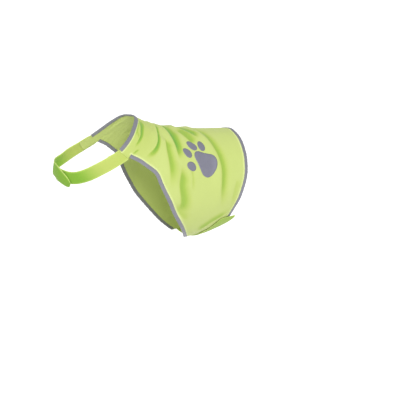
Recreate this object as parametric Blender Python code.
"""Dog safety vest, as worn: a hi-vis back panel with bound edges, two neck straps that
overlap on the chest, and a belly strap that closes on the left side.

Metres, +Z up. -X is towards the wearer's head, and -Y is the wearer's left side. The origin
is on the underside of the back panel, at the middle of the spine.

Every piece is cut flat, given its thickness, and then laid on one general trunk and neck.
A place on that form is (run, around): run is how far forward of the rear edge the section
lies along the body's middle line, in metres, and around is the angle from the spine, in
degrees, negative on the wearer's left. Past 180 a strap has crossed the middle of the
chest or belly.
"""

import math
from collections import namedtuple

import bmesh
import bpy
from mathutils import Vector
from mathutils.geometry import delaunay_2d_cdt, intersect_point_line

# Thicknesses and gaps of the layers
PANEL_THICK = 0.0014
BINDING_THICK = 0.0008
STRAP_THICK = 0.0014
TAPE_THICK = 0.0008
SEAM_GAP = 0.0003
LAYER_GAP = 0.0006

# Widths
BINDING_WIDTH = 0.0075
NECK_STRAP_WIDTH = 0.030
BELLY_STRAP_WIDTH = 0.072
NECK_TAPE_WIDTH = 0.014
BELLY_TAPE_WIDTH = 0.020

# Mesh spacing
EDGE_STEP = 0.012
CLOTH_STEP = 0.010
STRAP_STEP = 0.009
THREAD_CLEARANCE = 0.55 * CLOTH_STEP  # between the cloth's inner points and its edges
ANGLE_RADIUS = 0.105  # turns an angle around the body into a length on the flat cut
EDGE_SAMPLES = 120  # places read along an outline before it is divided evenly

# The trunk and neck that the vest is worn on, from its rear edge to its neck edge
Section = namedtuple("Section", "run top_x top_z bottom_x bottom_z half_width blunt")
SECTIONS = (
    Section(0.000, 0.126, -0.015, 0.126, -0.235, 0.100, 0.0),
    Section(0.090, 0.030, -0.005, 0.030, -0.262, 0.108, 0.0),
    Section(0.180, -0.060, 0.012, -0.060, -0.262, 0.112, 0.0),
    Section(0.288, -0.096, 0.024, -0.232, -0.221, 0.104, 0.0),
    Section(0.384, -0.117, 0.033, -0.342, -0.093, 0.084, 0.13),
    Section(0.412, -0.131, 0.041, -0.345, -0.053, 0.074, 0.17),
    Section(0.432, -0.141, 0.047, -0.346, -0.028, 0.067, 0.17),
)

# Outlines, from the spine round to the belly
Edge = namedtuple("Edge", "around run")
NECK_EDGE = (
    Edge(0, 0.430),
    Edge(30, 0.427),
    Edge(45, 0.418),
    Edge(60, 0.405),
    Edge(80, 0.395),
    Edge(94, 0.397),
)
LEG_EDGE = (
    Edge(76, 0.362),
    Edge(72, 0.324),
    Edge(74, 0.274),
    Edge(84, 0.248),
    Edge(99, 0.221),
    Edge(113, 0.203),
    Edge(133, 0.177),
    Edge(163, 0.146),
)
REAR_EDGE = (
    Edge(0, 0.000),
    Edge(32, 0.001),
    Edge(60, 0.005),
    Edge(82, 0.012),
    Edge(102, 0.024),
    Edge(118, 0.036),
    Edge(133, 0.045),
    Edge(163, 0.054),
)
FLAP_END = LEG_EDGE[-1].around
NECK_BOUND_TO = 78.6  # where the neck binding ends, at the strap's root
HORN_END = Edge(94, 0.369)  # the lower corner of the panel's horn, under the strap

# The largest folds. Each is a trough with a soft ridge on its forward side. Its start, middle
# and end are places (run, around).
Fold = namedtuple("Fold", "start middle end half_width height")
FOLDS = (
    Fold((0.400, -28), (0.378, -48), (0.366, -68), 0.007, 0.0030),
    Fold((0.274, 4), (0.275, -30), (0.318, -63), 0.011, 0.0045),
    Fold((0.208, 2), (0.184, -26), (0.178, -52), 0.012, 0.0050),
    Fold((0.222, -36), (0.224, -54), (0.214, -78), 0.012, 0.0035),
    Fold((0.094, 6), (0.077, -36), (0.071, -86), 0.012, 0.0045),
    Fold((0.180, -64), (0.187, -82), (0.184, -102), 0.011, 0.0045),
    Fold((0.142, 2), (0.122, -14), (0.104, -26), 0.010, 0.0030),
    Fold((0.398, 24), (0.382, 44), (0.368, 66), 0.007, 0.0028),
    Fold((0.264, 8), (0.246, 30), (0.318, 60), 0.012, 0.0042),
    Fold((0.186, 10), (0.166, 36), (0.182, 66), 0.013, 0.0045),
    Fold((0.090, 8), (0.074, 46), (0.082, 96), 0.013, 0.0042),
    Fold((0.160, 62), (0.172, 86), (0.190, 106), 0.012, 0.0040),
)
FOLD_STEPS = 10
# In a fold's half widths and heights: where its ridge lies, and its trough's depth and width
RIDGE_AT = 1.4
TROUGH_DEPTH = 0.8
TROUGH_WIDTH = 0.8
# A fold grows over the first fourth of its length, and fades over the last third
FOLD_GROWS, FOLD_FADES = 1 / 4, 1 / 3

# Heights of the straps' inner faces above the form
ON_PANEL = PANEL_THICK + LAYER_GAP
OVER_BINDING = PANEL_THICK + SEAM_GAP + BINDING_THICK + LAYER_GAP
OVER_STRAP = ON_PANEL + STRAP_THICK + TAPE_THICK + 2 * LAYER_GAP

# Where the straps lie
ROOT_SLANT = 0.0075  # how much earlier the sewn end's lower corner starts
LEFT_STRAP = (
    Edge(80.6, 0.395),
    Edge(105, 0.397),
    Edge(135, 0.398),
    Edge(160, 0.403),
    Edge(196, 0.408),
)
RIGHT_STRAP = (
    Edge(80.6, 0.395),
    Edge(105, 0.399),
    Edge(135, 0.405),
    Edge(158, 0.411),
    Edge(180, 0.409),
    Edge(200, 0.400),
    Edge(215, 0.388),
)
LEFT_STRAP_LIFT = ((0, ON_PANEL), (360, ON_PANEL))
RIGHT_STRAP_LIFT = ((0, ON_PANEL), (130, ON_PANEL), (158, OVER_STRAP), (360, OVER_STRAP))
BELLY_STRAP_LIFT = ((0, ON_PANEL), (150, ON_PANEL), (158, OVER_BINDING), (360, OVER_BINDING))
BELLY_REAR = (Edge(150, 0.064), Edge(176, 0.053), Edge(205, 0.040), Edge(229, 0.030))
NECK_STRAP_CORNER = 0.013  # radius of the free end's corners
BELLY_STRAP_CORNER = 0.006
BELLY_END_SLANT = 0.015  # how much shorter the belly strap's free end is at its front
BELLY_END_STRAIGHT = 0.55  # the share of that end, from its rear, that isn't rounded off
BELLY_END_ROUND = 0.040
CORNER_STEPS = 4
TAB_FLARE = 0.003  # how far the belly strap's free rear corner stands off

NECK_TAPE = (Edge(176, 0.394), Edge(202, 0.391))
BELLY_TAPE = (Edge(202, 0.067), Edge(213, 0.067))

COLOURS = {
    "hi_vis_cloth": (0.62, 0.84, 0.16, 1.0),
    "strap_cloth": (0.58, 0.83, 0.14, 1.0),
    "reflective_tape": (0.42, 0.42, 0.46, 1.0),
    "hook_tape": (0.50, 0.72, 0.14, 1.0),
}
ROUGHNESS = {"hi_vis_cloth": 0.8, "strap_cloth": 0.9, "reflective_tape": 0.45, "hook_tape": 0.9}


# ---------------------------------------------------------------- curves and the form
def smooth_step(x):
    x = min(1.0, max(0.0, x))
    return x * x * (3 - 2 * x)


def through(points, at):
    """The value at `at` of a smooth curve through (place, value) points, flat beyond them."""
    if at <= points[0][0]:
        return points[0][1]
    if at >= points[-1][0]:
        return points[-1][1]
    i = max(k for k in range(len(points) - 1) if points[k][0] <= at)

    def slope(k):
        before, after = points[max(k - 1, 0)], points[min(k + 1, len(points) - 1)]
        return (after[1] - before[1]) / (after[0] - before[0])

    span = points[i + 1][0] - points[i][0]
    t = (at - points[i][0]) / span
    return (
        (2 * t**3 - 3 * t**2 + 1) * points[i][1]
        + (t**3 - 2 * t**2 + t) * slope(i) * span
        + (3 * t**2 - 2 * t**3) * points[i + 1][1]
        + (t**3 - t**2) * slope(i + 1) * span
    )


def in_sections(column, run):
    return through([(s.run, getattr(s, column)) for s in SECTIONS], run)


def form(run, around):
    """A point of the general trunk and neck: an ellipse from the section's top to its bottom.

    A blunt section's bottom is flatter than an ellipse, by that share of its half height.
    """
    top = Vector((in_sections("top_x", run), 0, in_sections("top_z", run)))
    bottom = Vector((in_sections("bottom_x", run), 0, in_sections("bottom_z", run)))
    angle = math.radians(around)
    side = Vector((0, in_sections("half_width", run) * math.sin(angle), 0))
    rise = math.cos(angle) - in_sections("blunt", run) * min(0.0, math.cos(angle)) ** 3
    return (top + bottom) / 2 + (top - bottom) / 2 * rise + side


def form_slopes(run, around):
    """How the form's point moves with run, in metres, and with around, in degrees."""
    d_run, d_around = 0.002, 0.5
    low, high = max(0.0, run - d_run), min(SECTIONS[-1].run, run + d_run)
    along = (form(high, around) - form(low, around)) / (high - low)
    across = (form(run, around + d_around) - form(run, around - d_around)) / (2 * d_around)
    return along, across


def form_normal(run, around):
    along, across = form_slopes(run, around)
    return across.cross(along).normalized()


def stepped(place, towards, distance, steps=4):
    """The place that lies that distance away over the form, in a direction in space."""
    run, around = place
    for _ in range(steps):
        along, across = form_slopes(run, around)
        aa, ab, bb = along.dot(along), along.dot(across), across.dot(across)
        pa, pb = along.dot(towards), across.dot(towards)
        move = distance / steps / (aa * bb - ab * ab)
        run += move * (bb * pa - ab * pb)
        around += move * (aa * pb - ab * pa)
    return run, around


def flat_place(place):
    """A place on the flat cut: x is the length around, y is run."""
    run, around = place
    return Vector((math.radians(around) * ANGLE_RADIUS, run))


# ---------------------------------------------------------------- folds
def fold_line(fold):
    """Points along a fold's curve, on the flat cut."""
    start, middle, end = (flat_place(p) for p in (fold.start, fold.middle, fold.end))
    control = 2 * middle - (start + end) / 2  # so that the curve meets its middle
    shares = [i / FOLD_STEPS for i in range(FOLD_STEPS + 1)]
    return [(1 - t) ** 2 * start + 2 * t * (1 - t) * control + t * t * end for t in shares]


FOLD_LINES = [(fold, fold_line(fold)) for fold in FOLDS]


def fold_height(run, around):
    """How far the folds raise the cloth at a place, or lower it."""
    at = flat_place((run, around))
    height = 0.0
    for fold, line in FOLD_LINES:
        nearest = None
        for i, (a, b) in enumerate(zip(line, line[1:])):
            span = b - a
            t = min(1.0, max(0.0, (at - a).dot(span) / span.length_squared))
            off = at - (a + span * t)
            if nearest is None or off.length < nearest[0]:
                nearest = (off.length, off.y, (i + t) / FOLD_STEPS)
        away, forward, share = nearest
        across = math.copysign(away, forward) / fold.half_width
        fade = smooth_step(share / FOLD_GROWS) * smooth_step((1 - share) / FOLD_FADES)
        ridge = math.exp(-((across - RIDGE_AT) ** 2))
        trough = TROUGH_DEPTH * math.exp(-((across / TROUGH_WIDTH) ** 2))
        height += fold.height * fade * (ridge - trough)
    return height


def on_cloth(run, around, height):
    """A place raised by the folds and by height, square to the form."""
    return form(run, around) + form_normal(run, around) * (fold_height(run, around) + height)


# ---------------------------------------------------------------- edges
def evenly(places):
    """Places along a line of places, about EDGE_STEP apart on the form."""
    points = [form(*p) for p in places]
    lengths = [0.0]
    for a, b in zip(points, points[1:]):
        lengths.append(lengths[-1] + (b - a).length)
    count = max(1, round(lengths[-1] / EDGE_STEP))
    found, k = [], 0
    for i in range(count):
        at = lengths[-1] * i / count
        while lengths[k + 1] < at:
            k += 1
        t = (at - lengths[k]) / (lengths[k + 1] - lengths[k])
        found.append(tuple(a + (b - a) * t for a, b in zip(places[k], places[k + 1])))
    return found + [places[-1]]


def run_of(edge, around):
    """An outline's run at an angle on either side of the spine."""
    return through([(e.around, e.run) for e in edge], abs(around))


def stretch(edge, low, high):
    """Even places along an outline that has one run at each angle."""
    angles = [low + (high - low) * i / EDGE_SAMPLES for i in range(EDGE_SAMPLES + 1)]
    return evenly([(run_of(edge, a), a) for a in angles])


def leg_stretch():
    """Even places along the right leg edge, which turns back on itself, down to the belly."""
    last = len(LEG_EDGE) - 1
    runs = [(k, e.run) for k, e in enumerate(LEG_EDGE)]
    angles = [(k, e.around) for k, e in enumerate(LEG_EDGE)]
    shares = [last * i / EDGE_SAMPLES for i in range(EDGE_SAMPLES + 1)]
    return evenly([(through(runs, t), through(angles, t)) for t in shares])


def straight(start, end):
    return evenly([start, end])


def mirrored(places):
    return [(run, -around) for run, around in places]


def inward_of(edge, flip, ends_on_flap):
    """The direction in space, over the cloth and square to its edge, at each place of the edge.

    At an end of the edge on the flap's straight end, it follows that end instead.
    """
    found = []
    for i, place in enumerate(edge):
        before, after = edge[max(i - 1, 0)], edge[min(i + 1, len(edge) - 1)]
        along = form(*after) - form(*before)
        found.append(form_normal(*place).cross(along).normalized() * flip)
    for i in ends_on_flap:
        forward = form_slopes(*edge[i])[0].normalized()
        found[i] = forward * math.copysign(1.0, forward.dot(found[i]))
    return found


# A bound edge: its places, the places of the binding's sewn line, and the way in from the edge
BoundEdge = namedtuple("BoundEdge", "edge seam inward")


def bound_edge(edge, flip, ends_on_flap=()):
    inward = inward_of(edge, flip, ends_on_flap)
    seam = [stepped(p, towards, BINDING_WIDTH) for p, towards in zip(edge, inward)]
    return BoundEdge(edge, seam, inward)


# ---------------------------------------------------------------- cutting and laying
def thicken(flat):
    """Gives a flat cut its second face, at z = 1, and the rim between the two."""
    made = bmesh.ops.extrude_face_region(flat, geom=flat.faces[:], use_keep_orig=True)
    top = [v for v in made["geom"] if isinstance(v, bmesh.types.BMVert)]
    bmesh.ops.translate(flat, verts=top, vec=(0, 0, 1))
    return flat


def cut_strip(columns, rows):
    """A flat strip of cloth, x and y from 0 to 1, with its thickness."""
    flat = bmesh.new()
    bmesh.ops.create_grid(flat, x_segments=columns, y_segments=rows, size=0.5)
    bmesh.ops.translate(flat, verts=flat.verts[:], vec=(0.5, 0.5, 0))
    return thicken(flat)


def inside(point, loop):
    """Whether a flat point lies inside a closed loop of flat points."""
    odd = False
    for a, b in zip(loop, loop[1:] + loop[:1]):
        if (a.y > point.y) != (b.y > point.y):
            odd ^= point.x < (b.x - a.x) * (point.y - a.y) / (b.y - a.y) + a.x
    return odd


def off_line(point, a, b):
    """How far a flat point lies from the line between two others."""
    share = intersect_point_line(point, a, b)[1]
    return (a.lerp(b, min(1.0, max(0.0, share))) - point).length


def cut_panel(outline, bound):
    """The flat cut of the panel, with its thickness.

    Its mesh has points CLOTH_STEP apart inside the outline, and along each bound edge the
    same triangles as the binding that lies on it.
    """
    seams = [b.seam for b in bound]
    rungs = [pair for b in bound for pair in zip(b.edge, b.seam)]
    diagonals = [pair for b in bound for pair in zip(b.edge, b.seam[1:])]
    lines = [outline + outline[:1], *seams, *rungs, *diagonals]
    places = list(dict.fromkeys(p for line in lines for p in line))
    number = {p: i for i, p in enumerate(places)}
    edges = [(number[a], number[b]) for line in lines for a, b in zip(line, line[1:])]
    points = [flat_place(p) for p in places]

    outer = [number[p] for p in outline]
    loop = [points[i] for i in outer]
    bands = [[points[number[p]] for p in b.edge + b.seam[::-1]] for b in bound]
    walls = [pair for band in [loop, *bands] for pair in zip(band, band[1:])]
    columns = math.ceil(max(p.x for p in loop) / CLOTH_STEP)
    rear, front = min(p.y for p in loop), max(p.y for p in loop)
    for row in range(math.ceil((front - rear) / CLOTH_STEP)):
        for column in range(-columns, columns + 1):
            point = Vector(((column + row % 2 / 2) * CLOTH_STEP, rear + row * CLOTH_STEP))
            if not inside(point, loop) or any(inside(point, band) for band in bands):
                continue
            if all(off_line(point, a, b) > THREAD_CLEARANCE for a, b in walls):
                points.append(point)

    cut, _, faces = delaunay_2d_cdt(points, edges, [outer], 1, 1e-6)[:3]
    flat = bmesh.new()
    verts = [flat.verts.new((p.x, p.y, 0)) for p in cut]
    for face in faces:
        flat.faces.new([verts[i] for i in face])
    return thicken(flat)


def new_piece(name, flat, place, material):
    """Makes an object of a flat cut: each vertex is laid where place(x, y, z) says."""
    for v in flat.verts:
        v.co = place(*v.co)
    bmesh.ops.triangulate(flat, faces=flat.faces[:], quad_method="FIXED")
    bmesh.ops.recalc_face_normals(flat, faces=flat.faces[:])
    mesh = bpy.data.meshes.new(name)
    flat.to_mesh(mesh)
    flat.free()
    mesh.shade_smooth()
    mesh.materials.append(material)
    piece = bpy.data.objects.new(name, mesh)
    bpy.context.scene.collection.objects.link(piece)
    return piece


def new_material(name):
    material = bpy.data.materials.new(name)
    material.use_nodes = True
    material.diffuse_color = COLOURS[name]
    shader = material.node_tree.nodes["Principled BSDF"]
    shader.inputs["Base Color"].default_value = COLOURS[name]
    shader.inputs["Roughness"].default_value = ROUGHNESS[name]
    return material


# ---------------------------------------------------------------- the pieces
def make_panel(outline, bound, material):
    def place(x, y, z):
        return on_cloth(y, math.degrees(x / ANGLE_RADIUS), z * PANEL_THICK)

    return new_piece("back_panel", cut_panel(outline, bound), place, material)


# Across a binding, from its inner line below the panel to its inner line above: whether it
# lies on the seam or on the edge, and how far it has turned round the edge, in degrees
BINDING_ACROSS = (
    ("seam", 0),
    ("edge", 0),
    ("edge", 45),
    ("edge", 90),
    ("edge", 135),
    ("edge", 180),
    ("seam", 180),
)


def make_binding(name, bound, material):
    """Reflective tape folded over an edge of the panel, on the panel's own edge points."""
    columns, rows = len(bound.edge) - 1, len(BINDING_ACROSS) - 1

    def place(x, y, z):
        i = round(x * columns)
        line, turn = BINDING_ACROSS[round(y * rows)]
        reach = PANEL_THICK / 2 + SEAM_GAP + z * BINDING_THICK
        height = PANEL_THICK / 2 - reach * math.cos(math.radians(turn))
        if line == "seam":
            return on_cloth(*bound.seam[i], height)
        outward = -bound.inward[i] * reach * math.sin(math.radians(turn))
        return on_cloth(*bound.edge[i], height) + outward

    flat = cut_strip(columns, rows)
    below = [f for f in flat.faces if f.calc_center_median().y < 1 / rows]
    bmesh.ops.triangulate(flat, faces=below, quad_method="ALTERNATE")
    return new_piece(name, flat, place, material)


def line_length(line):
    points = [form(*line(i / EDGE_SAMPLES)) for i in range(EDGE_SAMPLES + 1)]
    return sum((b - a).length for a, b in zip(points, points[1:]))


def square_to(line, x):
    """The direction in space over the form, square to a line, to its right as it goes on."""
    low, high = max(0.0, x - 0.01), min(1.0, x + 0.01)
    along = form(*line(high)) - form(*line(low))
    return along.cross(form_normal(*line(x))).normalized()


def no_cut(_):
    return 0.0


def make_band(name, line, width, lift, thick, material, corner=0.0, near_cut=no_cut, far_cut=no_cut):
    """A strip of cloth along a line of places, with its width to one side of it.

    line(x) is its edge's place for x from 0 to 1, and lift(x, y) its inner face's height, with
    y from 0 to 1 across it. A width below zero lies on the line's left. corner rounds both
    corners of its far end. near_cut(y) and far_cut(y) are how much shorter its ends are cut.
    """
    length = line_length(line)
    corner_steps = CORNER_STEPS if corner else 0
    straight_steps = round((length - corner) / STRAP_STEP)
    columns = straight_steps + corner_steps
    rows = max(2, round(abs(width) / STRAP_STEP))

    def place(x, y, z):
        i = round(x * columns)
        inset = 0.0
        if i <= straight_steps:
            share = (1 - corner / length) * i / straight_steps
        else:
            turn = math.radians(90 * (i - straight_steps) / corner_steps)
            share = 1 - corner / length * (1 - math.sin(turn))
            inset = corner * (1 - math.cos(turn))
        share += (near_cut(y) * (1 - share) - far_cut(y) * share) / length
        across = math.copysign(inset + (abs(width) - 2 * inset) * y, width)
        run, around = stepped(line(share), square_to(line, max(0.0, share)), across)
        return on_cloth(run, around, lift(share, y) + z * thick)

    return new_piece(name, cut_strip(columns, rows), place, material)


def line_of(edge, side=1):
    """A line of places along an outline, for x from 0 to 1, on the side given."""
    start, end = edge[0].around, edge[-1].around

    def line(x):
        around = start + (end - start) * x
        return run_of(edge, around), side * around

    return line


def make_neck_strap(name, side, edge, lifts, material):
    """A neck strap, from its sewn root on the panel's horn to its rounded free end."""
    line = line_of(edge, side)

    def lift(x, _):
        return through(lifts, abs(line(x)[1]))

    def slanted(y):
        return -ROOT_SLANT * y

    width = side * NECK_STRAP_WIDTH
    return make_band(name, line, width, lift, STRAP_THICK, material, NECK_STRAP_CORNER, slanted)


def make_belly_strap(material):
    line = line_of(BELLY_REAR)

    def lift(x, y):
        flare = TAB_FLARE * smooth_step(x * 3 - 2) * (1 - y) ** 2
        return through(BELLY_STRAP_LIFT, line(x)[1]) + flare

    def rounded_off(y):
        front = smooth_step((y - BELLY_END_STRAIGHT) / (1 - BELLY_END_STRAIGHT))
        return BELLY_END_SLANT * y + BELLY_END_ROUND * front

    return make_band(
        "belly_strap",
        line,
        -BELLY_STRAP_WIDTH,
        lift,
        STRAP_THICK,
        material,
        BELLY_STRAP_CORNER,
        far_cut=rounded_off,
    )


def make_hook_tape(name, edge, width, height, material):
    return make_band(name, line_of(edge), width, lambda x, y: height, TAPE_THICK, material)


def build():
    for obj in list(bpy.data.objects):
        bpy.data.objects.remove(obj)
    materials = {name: new_material(name) for name in COLOURS}

    neck = bound_edge(stretch(NECK_EDGE, -NECK_BOUND_TO, NECK_BOUND_TO), -1)
    leg_right = bound_edge(leg_stretch(), -1, [-1])
    leg_left = BoundEdge(
        mirrored(leg_right.edge),
        mirrored(leg_right.seam),
        [Vector((v.x, -v.y, v.z)) for v in leg_right.inward],
    )
    rear = bound_edge(stretch(REAR_EDGE, -FLAP_END, FLAP_END), 1, [0, -1])

    horn_tip = (run_of(NECK_EDGE, HORN_END.around), HORN_END.around)
    horn_corner = (HORN_END.run, HORN_END.around)
    horn = stretch(NECK_EDGE, NECK_BOUND_TO, HORN_END.around)[1:-1]
    horn += straight(horn_tip, horn_corner)[:-1] + straight(horn_corner, leg_right.edge[0])[:-1]
    right = horn + leg_right.edge + straight(leg_right.edge[-1], rear.edge[-1])[1:-1]
    outline = neck.edge + right + rear.edge[::-1] + mirrored(right[::-1])

    tape = materials["reflective_tape"]
    make_panel(outline, [neck, leg_left, leg_right, rear], materials["hi_vis_cloth"])
    make_binding("neck_binding", neck, tape)
    make_binding("leg_binding_left", leg_left, tape)
    make_binding("leg_binding_right", leg_right, tape)
    make_binding("rear_binding", rear, tape)

    strap = materials["strap_cloth"]
    make_neck_strap("neck_strap_left", -1, LEFT_STRAP, LEFT_STRAP_LIFT, strap)
    make_neck_strap("neck_strap_right", 1, RIGHT_STRAP, RIGHT_STRAP_LIFT, strap)
    make_belly_strap(strap)

    hook = materials["hook_tape"]
    neck_tape_height = ON_PANEL + STRAP_THICK + LAYER_GAP
    make_hook_tape("neck_hook_tape", NECK_TAPE, NECK_TAPE_WIDTH, neck_tape_height, hook)
    make_hook_tape("belly_hook_tape", BELLY_TAPE, -BELLY_TAPE_WIDTH, ON_PANEL, hook)


build()
